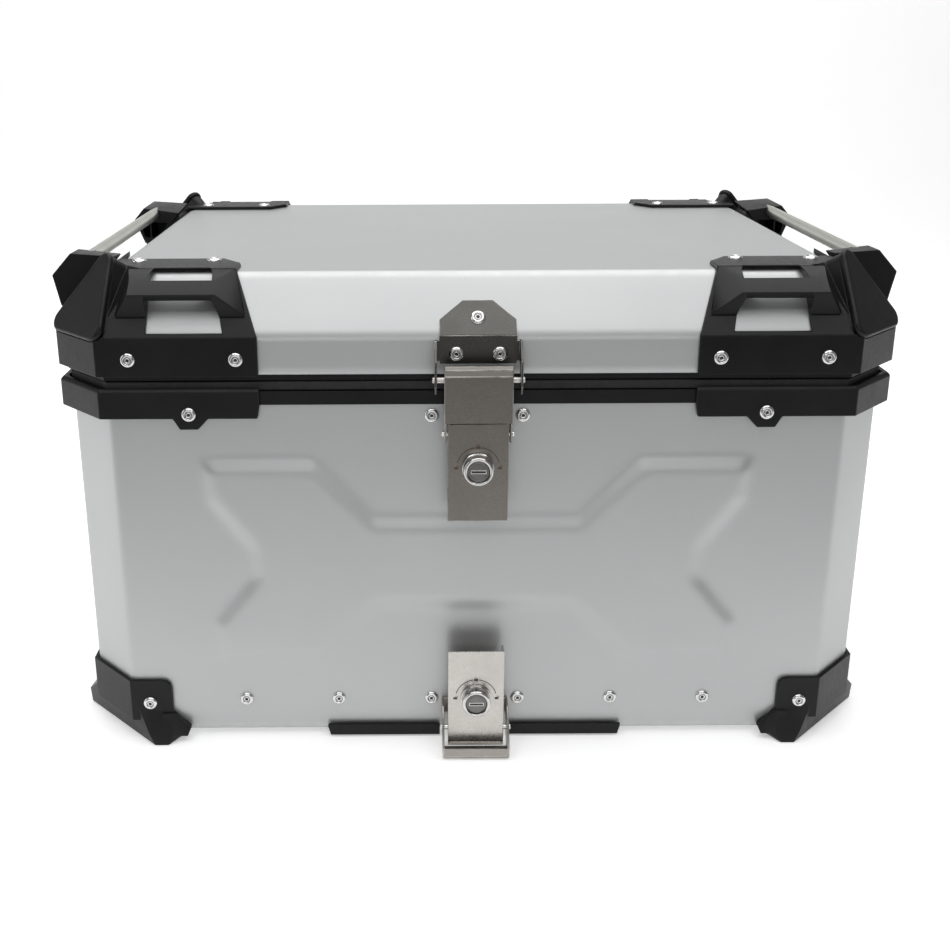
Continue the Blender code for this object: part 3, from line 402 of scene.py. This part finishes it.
def turned(profile, sides=32):
    """A solid of revolution about +Z from (radius, height) pairs in millimetres that start and end on the axis."""
    bm = bmesh.new()
    edge_wear_and_sheen_layer(bm)
    rings = []
    for r, h in profile:
        if r < 1e-6:
            rings.append([bm.verts.new((0, 0, h * MM))])
        else:
            rings.append([bm.verts.new((r * MM * math.cos(math.tau * k / sides), r * MM * math.sin(math.tau * k / sides), h * MM)) for k in range(sides)])
    for a, b in zip(rings, rings[1:]):
        for k in range(sides):
            j = (k + 1) % sides
            if len(a) == 1 and len(b) == 1:
                continue
            if len(a) == 1:
                bm.faces.new((a[0], b[j], b[k]))
            elif len(b) == 1:
                bm.faces.new((a[k], a[j], b[0]))
            else:
                bm.faces.new((a[k], a[j], b[j], b[k]))
    bmesh.ops.recalc_face_normals(bm, faces=bm.faces)
    return bm


def placed(bm, point, normal, spin=0.0):
    turn = Vector((0, 0, 1)).rotation_difference(Vector(normal)).to_matrix().to_4x4()
    bmesh.ops.transform(bm, matrix=Matrix.Translation(point) @ turn @ Matrix.Rotation(spin, 4, "Z"), verts=bm.verts)
    return bm


def gathered(parts):
    """Several bmeshes as one."""
    whole = bmesh.new()
    for bm in parts:
        mesh = bpy.data.meshes.new("part")
        bm.to_mesh(mesh)
        bm.free()
        whole.from_mesh(mesh)
        bpy.data.meshes.remove(mesh)
    return whole


def prism(points, y0, y1, place=None):
    """An outline of (u, v) between two depths; place(u, d, v) gives each corner's point."""
    place = place or at
    bm = bmesh.new()
    edge_wear_and_sheen_layer(bm)
    a = [bm.verts.new(place(u, y0, v)) for u, v in points]
    b = [bm.verts.new(place(u, y1, v)) for u, v in points]
    bm.faces.new(a)
    bm.faces.new(list(reversed(b)))
    for i in range(len(a)):
        j = (i + 1) % len(a)
        bm.faces.new((a[j], a[i], b[i], b[j]))
    bmesh.ops.recalc_face_normals(bm, faces=bm.faces)
    return bm


# ================================================================= body: pressed sheet
FOOT = [(-71.5, 184.6), (-114.8, 228.6), (-199.0, 228.6), (-197.5, 194.5), (-169.5, 157.7), (-166.5, 133.0), (-196.0, 98.0), (-193.5, 61.8), (-114.0, 61.8), (-70.0, 104.7)]
FACE = [(-76.1, 170.8), (-119.8, 216.0), (-187.0, 216.0), (-182.5, 198.0), (-152.5, 157.6), (-151.5, 134.4), (-183.6, 94.0), (-183.6, 76.8), (-116.5, 76.8), (-74.0, 121.1)]
EMBOSS = 3.5


def whole_outline(shape, squeeze=1.0):
    return np.array([(u * squeeze, z) for u, z in shape] + [(-u * squeeze, z) for u, z in reversed(shape)])


def distance(points, poly):
    best = np.full(len(points), 1e9)
    for a, b in zip(poly, np.roll(poly, -1, axis=0)):
        d = b - a
        t = np.clip(((points - a) @ d) / (d @ d), 0, 1)
        best = np.minimum(best, np.linalg.norm(points - (a + t[:, None] * d), axis=1))
    return best


def inside(points, poly):
    x, y = points[:, 0], points[:, 1]
    hit = np.zeros(len(points), bool)
    for (x0, y0), (x1, y1) in zip(poly, np.roll(poly, -1, axis=0)):
        cross = (y0 > y) != (y1 > y)
        with np.errstate(divide="ignore", invalid="ignore"):
            hit ^= cross & (x < (x1 - x0) * (y - y0) / (y1 - y0) + x0)
    return hit


def emboss(points, squeeze):
    foot, face = whole_outline(FOOT, squeeze), whole_outline(FACE, squeeze)
    df, dt = distance(points, foot), distance(points, face)
    t = np.where(inside(points, face), 1.0, np.where(inside(points, foot), df / (df + dt + 1e-9), 0.0))
    return EMBOSS * (t * t * (3 - 2 * t))


def body_skin():
    fold = 8.0
    outline = octagon_outline(292.0, 4.0, 34.0, fold, (150, 8, 100))
    zs = [272.0, 271.4] + list(np.linspace(269.0, 26.0, 73))
    tuck = [(22.5, 0.25), (19.0, 0.9), (15.5, 1.8), (12.0, 2.8), (8.5, 3.8), (6.0, 4.5), (4.6, 5.2), (3.8, 6.4), (3.5, 8.2)]
    pts = np.array([(x, y, nx, ny) for x, y, nx, ny, _ in outline])
    faces = [f for *_, f in outline]
    rows = []
    for z in zs:
        lift = np.zeros(len(pts))
        for name in ("front", "rear", "left", "right"):
            pick = np.array([f == name for f in faces])
            ends = name in ("front", "rear")
            u = pts[pick, 0] if ends else pts[pick, 1] - DEPTH / 2
            lift[pick] = emboss(np.column_stack((u, np.full(pick.sum(), z))), 1.0 if ends else 0.60)
        rows.append([at(x + nx * e, y + ny * e, z) for (x, y, nx, ny), e in zip(pts, lift)])
    for z, e in tuck:
        rows.append([at(x - nx * e, y - ny * e, z) for x, y, nx, ny in pts])
    bm, rings = lofted(rows)
    layer = edge_wear_and_sheen_layer(bm)
    for v in rings[-5] + rings[-4]:
        v[layer] = 0.6
    ob = piece("case_body", bm, SHEET, "body", ("body_shell",), sharp=60)
    ob.modifiers.clear()
    solidified(ob, 1.6)


body_skin()


# ================================================================= lid: folded sheet
def lid_skin():
    def row(f, z, e=0.0):
        o = octagon_outline(296.0 - 37.0 * f + e, 3.2 + 32.0 * f - e, 35.0 - 11.0 * f, 6.0, (28, 3, 18))
        return [at(x, y, z) for x, y, *_ in o]

    rows = [row(0, 288.7, -0.35), row(0, 289.2), row(0, 295.0), row(0, 303.0)]
    for k in range(7):
        t = k / 6
        z = (1 - t) ** 2 * 311.5 + 2 * t * (1 - t) * 316.0 + t * t * 320.5
        f = t * t * (4.5 / 39.0)
        rows.append(row(f, z))
    for f in (0.3, 0.5, 0.7):
        rows.append(row(f, 316.0 + 39.0 * f))
    f0 = 0.87
    for k in range(8):
        t = k / 7
        f = (1 - t) ** 2 * f0 + 2 * t * (1 - t) * 1.0 + t * t * 1.16
        z = (1 - t) ** 2 * (316.0 + 39.0 * f0) + 2 * t * (1 - t) * 355.0 + t * t * 355.0
        rows.append(row(f, z))
    bm, rings = lofted(rows)
    layer = edge_wear_and_sheen_layer(bm)
    for ring in rings[16:19]:
        for v in ring:
            v[layer] = 0.35
    ob = piece("case_lid", bm, SHEET, "lid", ("lid_shell",), sharp=60)
    ob.modifiers.clear()
    solidified(ob, 1.6)


lid_skin()

# ================================================================= mouldings
dressed("body_rim_band", "rim_band", PLASTIC, 0.35, 2)
dressed("rim_gasket", "rim_seal", RUBBER, 0.8, 2)
dressed("lid_rim", "lid_inner_rim", PLASTIC, 0.5, 2)
for k in ("fl", "fr", "rl", "rr"):
    dressed(f"band_corner_{k}", f"band_moulding_{k}", PLASTIC, 0.9, 3, 20)
    dressed(f"foot_{k}", f"foot_moulding_{k}", PLASTIC, 0.45, 2, 28)
    dressed(f"lid_cover_{k}", f"corner_cover_{k}", PLASTIC, 0.7, 2, 26)
    dressed(f"corner_pad_{k}", f"corner_bumper_{k}", PLASTIC, 2.2, 4, 30)
for k in ("left", "right"):
    dressed(f"bottom_bar_{k}", f"bottom_strip_{k}", PLASTIC, 0.4, 2)
    dressed(f"hinge_lower_leaf_{k}", f"hinge_leaf_low_{k}", SATIN, 0.25, 2)
    dressed(f"hinge_upper_leaf_{k}", f"hinge_leaf_high_{k}", SATIN, 0.25, 2)
    dressed(f"hinge_pin_{k}", f"hinge_rod_{k}", POLISHED, 0.3, 2, 40)
dressed("mounting_plate", "carrier_plate", SATIN, 0.4, 2)


def tube(name, start, end, radius, mat, body, replaces, sides=32, chamfer=0.8):
    d = (end - start).length / MM
    bm = turned([(0, 0), (radius - chamfer, 0), (radius, chamfer)] + [(radius, chamfer + (d - 2 * chamfer) * k / 6) for k in range(1, 6)] + [(radius, d - chamfer), (radius - chamfer, d), (0, d)], sides)
    placed(bm, start, end - start)
    return piece(name, bm, mat, body, replaces)


for sx, k in ((-1, "left"), (1, "right")):
    tube(f"carrying_rail_{k}", at(sx * 285, 80, 356.6), at(sx * 285, 336, 356.6), 5.0, RAIL, "lid", (f"grab_rail_{k}",), 40)

# ================================================================= latches
dressed("lid_latch_bracket", "catch_bracket", SHADED_BRACKET_STEEL, 0.45, 3)
tube("catch_rod", at(-31.8, -8, 287.5), at(31.8, -8, 287.5), 2.2, BRIGHT, "lid", ("lid_latch_rod",), 24, 0.4)
dressed("latch_base", "draw_base", SATIN, 0.3, 2)
tube("draw_pin", at(-21, -6, 262), at(21, -6, 262), 2.0, POLISHED, "body", ("lever_pin",), 24, 0.3)
dressed("latch_lever", "draw_lever", LEVER, 0.45, 3)
dressed("latch_link", "draw_link", LEVER, 0.6, 3)
tube("draw_link_pin", at(-25.4, -6, 248), at(25.4, -6, 248), 2.0, POLISHED, "link", ("link_pin",), 24, 0.3)
dressed("lower_latch_claw", "release_hook", SATIN, 0.4, 3)
tube("release_pin", at(-26.2, -13, 19), at(26.2, -13, 19), 2.0, POLISHED, "body", ("lower_latch_pin",), 24, 0.3)
dressed("lower_latch_plate", "release_plate", BRIGHT, 0.45, 3)


def lock(prefix, z, face, deep, plate_body, plug_body):
    centre = at(0, face, z)
    ring = turned(
        [(7.95, -deep + 1.2), (8.6, -deep + 1.2), (8.6, 0.3), (11.2, 0.3), (11.3, 0.5), (11.3, 1.2), (11.1, 1.6), (10.7, 1.75), (10.5, 2.2), (10.5, 8.2), (10.3, 8.9), (9.8, 9.45), (9.2, 9.6), (8.5, 9.5), (8.0, 9.1), (7.95, 8.4), (7.95, -deep + 1.2)],
        64,
    )
    bmesh.ops.remove_doubles(ring, verts=ring.verts, dist=1e-7)
    piece(f"{prefix}_lock_ring", placed(ring, centre, (0, -1, 0)), CHROME, plate_body, (f"{prefix}_lock_bezel",))
    face_bm = turned([(0, -deep + 0.3), (7.4, -deep + 0.3), (7.6, -deep + 0.6), (7.6, 8.2), (7.4, 8.55), (6.7, 8.7), (6.4, 8.5), (6.0, 8.5), (5.8, 8.75), (0, 8.9)], 64)
    placed(face_bm, centre, (0, -1, 0))
    piece(f"{prefix}_lock_face", face_bm, LOCK_FACE, plug_body, (f"{prefix}_lock_plug",))
    outer = [(-5.5, -1.35), (5.5, -1.35), (5.5, 1.35), (-5.5, 1.35)]
    o = prism([(u, z + v) for u, v in outer], face - 8.6, face - 9.05)
    rounded(o, creases(o, 60), 0.25, 2)
    piece(f"{prefix}_key_guard", o, CHROME, plug_body)
    # A dark slab over the keyway: painted shade for the slot's dark inside.
    s = prism([(u, z + v) for u, v in ((-4.9, -0.75), (4.9, -0.75), (4.9, 0.75), (-4.9, 0.75))], face - 8.8, face - 9.1)
    piece(f"{prefix}_key_slot", s, PAINTED_HOLE_SHADE, plug_body)
    dressed(f"{prefix}_lock_cam", f"{prefix}_cam", SATIN, 0.3, 2)


lock("upper", 225.3, -12.5, 8.6, "lever", "upper_plug")
lock("lower", 46.5, -18.0, 11.8, "release", "lower_plug")

# ================================================================= rivets
RIVET = [(0, -0.4), (5.2, -0.4), (5.3, 0.0), (5.2, 0.55), (4.7, 1.25), (3.9, 1.75), (3.2, 1.85), (2.8, 1.6), (2.6, 0.9), (2.55, 0.35)]
RIVET_CORE = [(2.1, 0.25), (2.05, 0.9), (1.9, 1.35), (1.55, 1.45), (1.2, 1.3), (1.05, 0.8), (1.0, 0.25), (0, 0.25)]


def rivets(name, places, body, replaces=()):
    """Blind rivets at (point, normal): a polished domed flange, a mandrel stub down its hole, and a dark plug in the
    bore that is painted shade.
    """
    heads, cores = [], []
    for k, (p, n) in enumerate(places):
        heads.append(placed(turned(RIVET + [(2.35, 0.2), (0, 0.2)], 28), p, n))
        cores.append(placed(turned(RIVET_CORE, 20), p, n))
    ob = piece(name, gathered(heads), POLISHED, body, replaces, sharp=70, weighted=False)
    piece(name + "_stubs", gathered(cores), POLISHED, body, sharp=70, weighted=False)
    # Dark plugs in the mandrel bores: painted shade.
    dark = [placed(turned([(0, 0.3), (1.0, 0.3), (1.0, 1.15), (0, 1.15)], 16), p, n) for p, n in places]
    piece(name + "_painted_bore_shade", gathered(dark), PAINTED_HOLE_SHADE, body, sharp=70, weighted=False)
    return ob


def both_ends(places):
    """Front places (x, y, z) with their normals, on the front and on the rear."""
    front = [(at(x, y, z), (0, -1, 0)) for x, y, z in places]
    rear = [(at(x, DEPTH - y, z), (0, 1, 0)) for x, y, z in places]
    return front, rear


ROW = (-172.5, -102.5, -32.5, 32.5, 102.5, 172.5)
front, rear = both_ends([(x, 3.9, 33.5) for x in ROW])
rivets("row_rivets_front", front, "body", ("body_rivets_front",))
rivets("row_rivets_rear", rear, "body", ("body_rivets_rear",))
for sx, sy, k in ((-1, -1, "fl"), (1, -1, "fr"), (-1, 1, "rl"), (1, 1, "rr")):
    i = 0 if sy < 0 else 1
    rivets(f"band_rivet_head_{k}", both_ends([(sx * 201.6, -0.1, 261.0)])[i], "body", (f"band_rivet_{k}",))
    rivets(f"cover_rivet_heads_{k}", both_ends([(sx * 241.2, -0.1, 300.5), (sx * 167.0, -0.1, 300.5)])[i], "lid", (f"cover_rivets_{k}",))
rivets("bracket_rivet_heads", both_ends([(-15, 1.2, 303.7), (15, 1.2, 303.7)])[0], "lid", ("latch_bracket_rivets",))

slope_n = Vector((0, -39.0, 32.0)).normalized()


def on_slope(x, z, lift):
    s = Vector((0, 32.0, 39.0)).normalized()
    q = Vector((x, 3.2, 316.0)) + s * ((z - 316.0) / s.z) + slope_n * lift
    return at(*q)


rivets("bracket_rivet_top", [(on_slope(0, 326.0, 1.8), slope_n)], "lid")
flange = [(x, y) for x in (-243, 243) for y in (62,)] + [(x, 64) for x in (-189, 189)]
rivets("flange_rivets_front", [(at(x, y, 357.9), (0, 0, 1)) for x, y in flange], "lid")
rivets("flange_rivets_rear", [(at(x, DEPTH - y, 357.9), (0, 0, 1)) for x, y in flange], "lid")
rivets("latch_side_rivets", [(at(x, 3.9, 258.5), (0, -1, 0)) for x in (-32, 32)], "body")
rivets("foot_rivets_front", [(at(x, 0.7, 31.7), (0, -1, 0)) for x in (-245, 245)], "body")
rivets("foot_rivets_rear", [(at(x, DEPTH - 0.7, 31.7), (0, 1, 0)) for x in (-245, 245)], "body")
for k in ("left", "right"):
    x0 = -100 if k == "left" else 100
    rivets(f"hinge_rivets_low_{k}", [(at(x0 + x, 416.1, z), (0, 1, 0)) for x in (-13, 13) for z in (244, 258)], "body")
    rivets(f"hinge_rivets_high_{k}", [(at(x0 + x, 415.1, 303), (0, 1, 0)) for x in (-13, 13)], "lid")


# ================================================================= printed marks by the locks
def padlock_marks(prefix, z, face, body, mat, radius=15.2):
    parts = []

    def icon(cx, cz, opened):
        w, h = 1.45, 1.2
        parts.append(prism([(cx - w, cz - h), (cx + w, cz - h), (cx + w, cz + 0.45), (cx - w, cz + 0.45)], face, face - 0.12))
        shift = 0.9 if opened else 0.0
        arc_out, arc_in = [], []
        for k in range(9):
            a = math.pi * k / 8
            arc_out.append((cx + shift + 0.95 * math.cos(a), cz + 0.75 + 0.95 * math.sin(a)))
            arc_in.append((cx + shift + 0.55 * math.cos(a), cz + 0.75 + 0.55 * math.sin(a)))
        low = cz + 0.40
        strip = [(cx + shift + 0.95, low)] + arc_out + ([(cx + shift - 0.95, low)] if not opened else [(cx + shift - 0.95, cz + 0.55)])
        back = ([(cx + shift - 0.55, low)] if not opened else [(cx + shift - 0.55, cz + 0.55)]) + list(reversed(arc_in)) + [(cx + shift + 0.55, low)]
        pts = strip + back
        n = len(strip)
        for i in range(n - 1):
            parts.append(prism([strip[i], strip[i + 1], back[n - 2 - i], back[n - 1 - i]], face, face - 0.12))

    icon(0, z + radius, False)
    icon(-radius, z, True)
    icon(radius, z, True)
    for a0, a1 in ((100, 166), (14, 80)):
        steps = 14
        r0, r1 = radius - 0.5, radius + 0.1
        for k in range(steps):
            a, b = (math.radians(a0 + (a1 - a0) * (k + j) / steps) for j in (0, 1))
            parts.append(prism([(r0 * math.cos(t) + 0.0, z + r0 * math.sin(t)) for t in (a, b)] + [(r1 * math.cos(t), z + r1 * math.sin(t)) for t in (b, a)], face, face - 0.12))
    piece(f"{prefix}_lock_marks", gathered(parts), mat, body, weighted=False)


padlock_marks("upper", 225.3, -12.45, "lever", INK_BROWN)
padlock_marks("lower", 46.5, -17.95, "release", INK_DARK)


# ================================================================= studio
def studio_material():
    m, t, b = shader("studio_white")
    n = Net(t)
    split = t.nodes.new("ShaderNodeSeparateXYZ")
    n.link(n.coords, split.inputs["Vector"])
    pale = n.blend(n.span(n.noise(3, 2, 0.5), 0.3, 0.7, 0.0, 1.0), (0.93, 0.93, 0.93), (0.95, 0.95, 0.95))
    n.link(n.blend(n.span(split.outputs["Y"], -1.1, -0.5, 1.0, 0.0), pale, (0.42, 0.42, 0.42)), b.inputs["Base Color"])
    b.inputs["Roughness"].default_value = 0.9
    b.inputs["Specular IOR Level"].default_value = 0.1
    near = n.span(split.outputs["Y"], -0.62, -0.27, 0.0, 0.37)
    glow = n.maths("MULTIPLY", near, n.span(split.outputs["Z"], 0.62, 1.0, 1.0, 0.0))
    b.inputs["Emission Color"].default_value = (1, 1, 1, 1)
    n.link(glow, b.inputs["Emission Strength"])
    return m


WHITE = studio_material()
sweep = bmesh.new()
line = [(-3.2, 0.0), (1.6, 0.0)] + [(1.6 + 0.9 * math.sin(math.radians(a)), 0.9 - 0.9 * math.cos(math.radians(a))) for a in range(10, 91, 10)] + [(2.5, 3.2)]
columns = [[sweep.verts.new((x, y, z - 0.0004)) for y, z in line] for x in (-4.5, 4.5)]
for i in range(len(line) - 1):
    sweep.faces.new((columns[0][i], columns[1][i], columns[1][i + 1], columns[0][i + 1]))
bmesh.ops.recalc_face_normals(sweep, faces=sweep.faces)
for f in sweep.faces:
    f.smooth = True
mesh = bpy.data.meshes.new("studio_sweep")
sweep.to_mesh(mesh)
sweep.free()
mesh.materials.append(WHITE)
floor = bpy.data.objects.new("studio_sweep", mesh)
bpy.context.scene.collection.objects.link(floor)

world = bpy.data.worlds.new("studio")
bpy.context.scene.world = world
world.use_nodes = True
background = world.node_tree.nodes["Background"]
background.inputs["Color"].default_value = (1.0, 1.0, 1.0, 1)
background.inputs["Strength"].default_value = 0.18


def softbox(name, place, target, size, power, colour=(1, 1, 1)):
    light = bpy.data.lights.new(name, "AREA")
    light.shape = "RECTANGLE"
    light.size, light.size_y = size
    light.energy = power
    light.color = colour
    ob = bpy.data.objects.new(name, light)
    bpy.context.scene.collection.objects.link(ob)
    ob.location = place
    ob.rotation_euler = (Vector(target) - Vector(place)).to_track_quat("-Z", "Y").to_euler()
    return ob


softbox("light_top", (0, 0.35, 1.9), (0, 0.1, 0.3), (2.6, 2.0), 35)
softbox("light_slope", (0, -1.0, 1.75), (0, 0, 0.3), (2.4, 0.8), 10)
softbox("light_front", (0, -3.0, 0.95), (0, 0, 0.2), (2.6, 0.5), 12)
softbox("light_left", (-2.0, -0.3, 0.8), (0, 0, 0.2), (1.2, 1.4), 6)
softbox("light_right", (2.0, -0.3, 0.8), (0, 0, 0.2), (1.2, 1.4), 0.3)
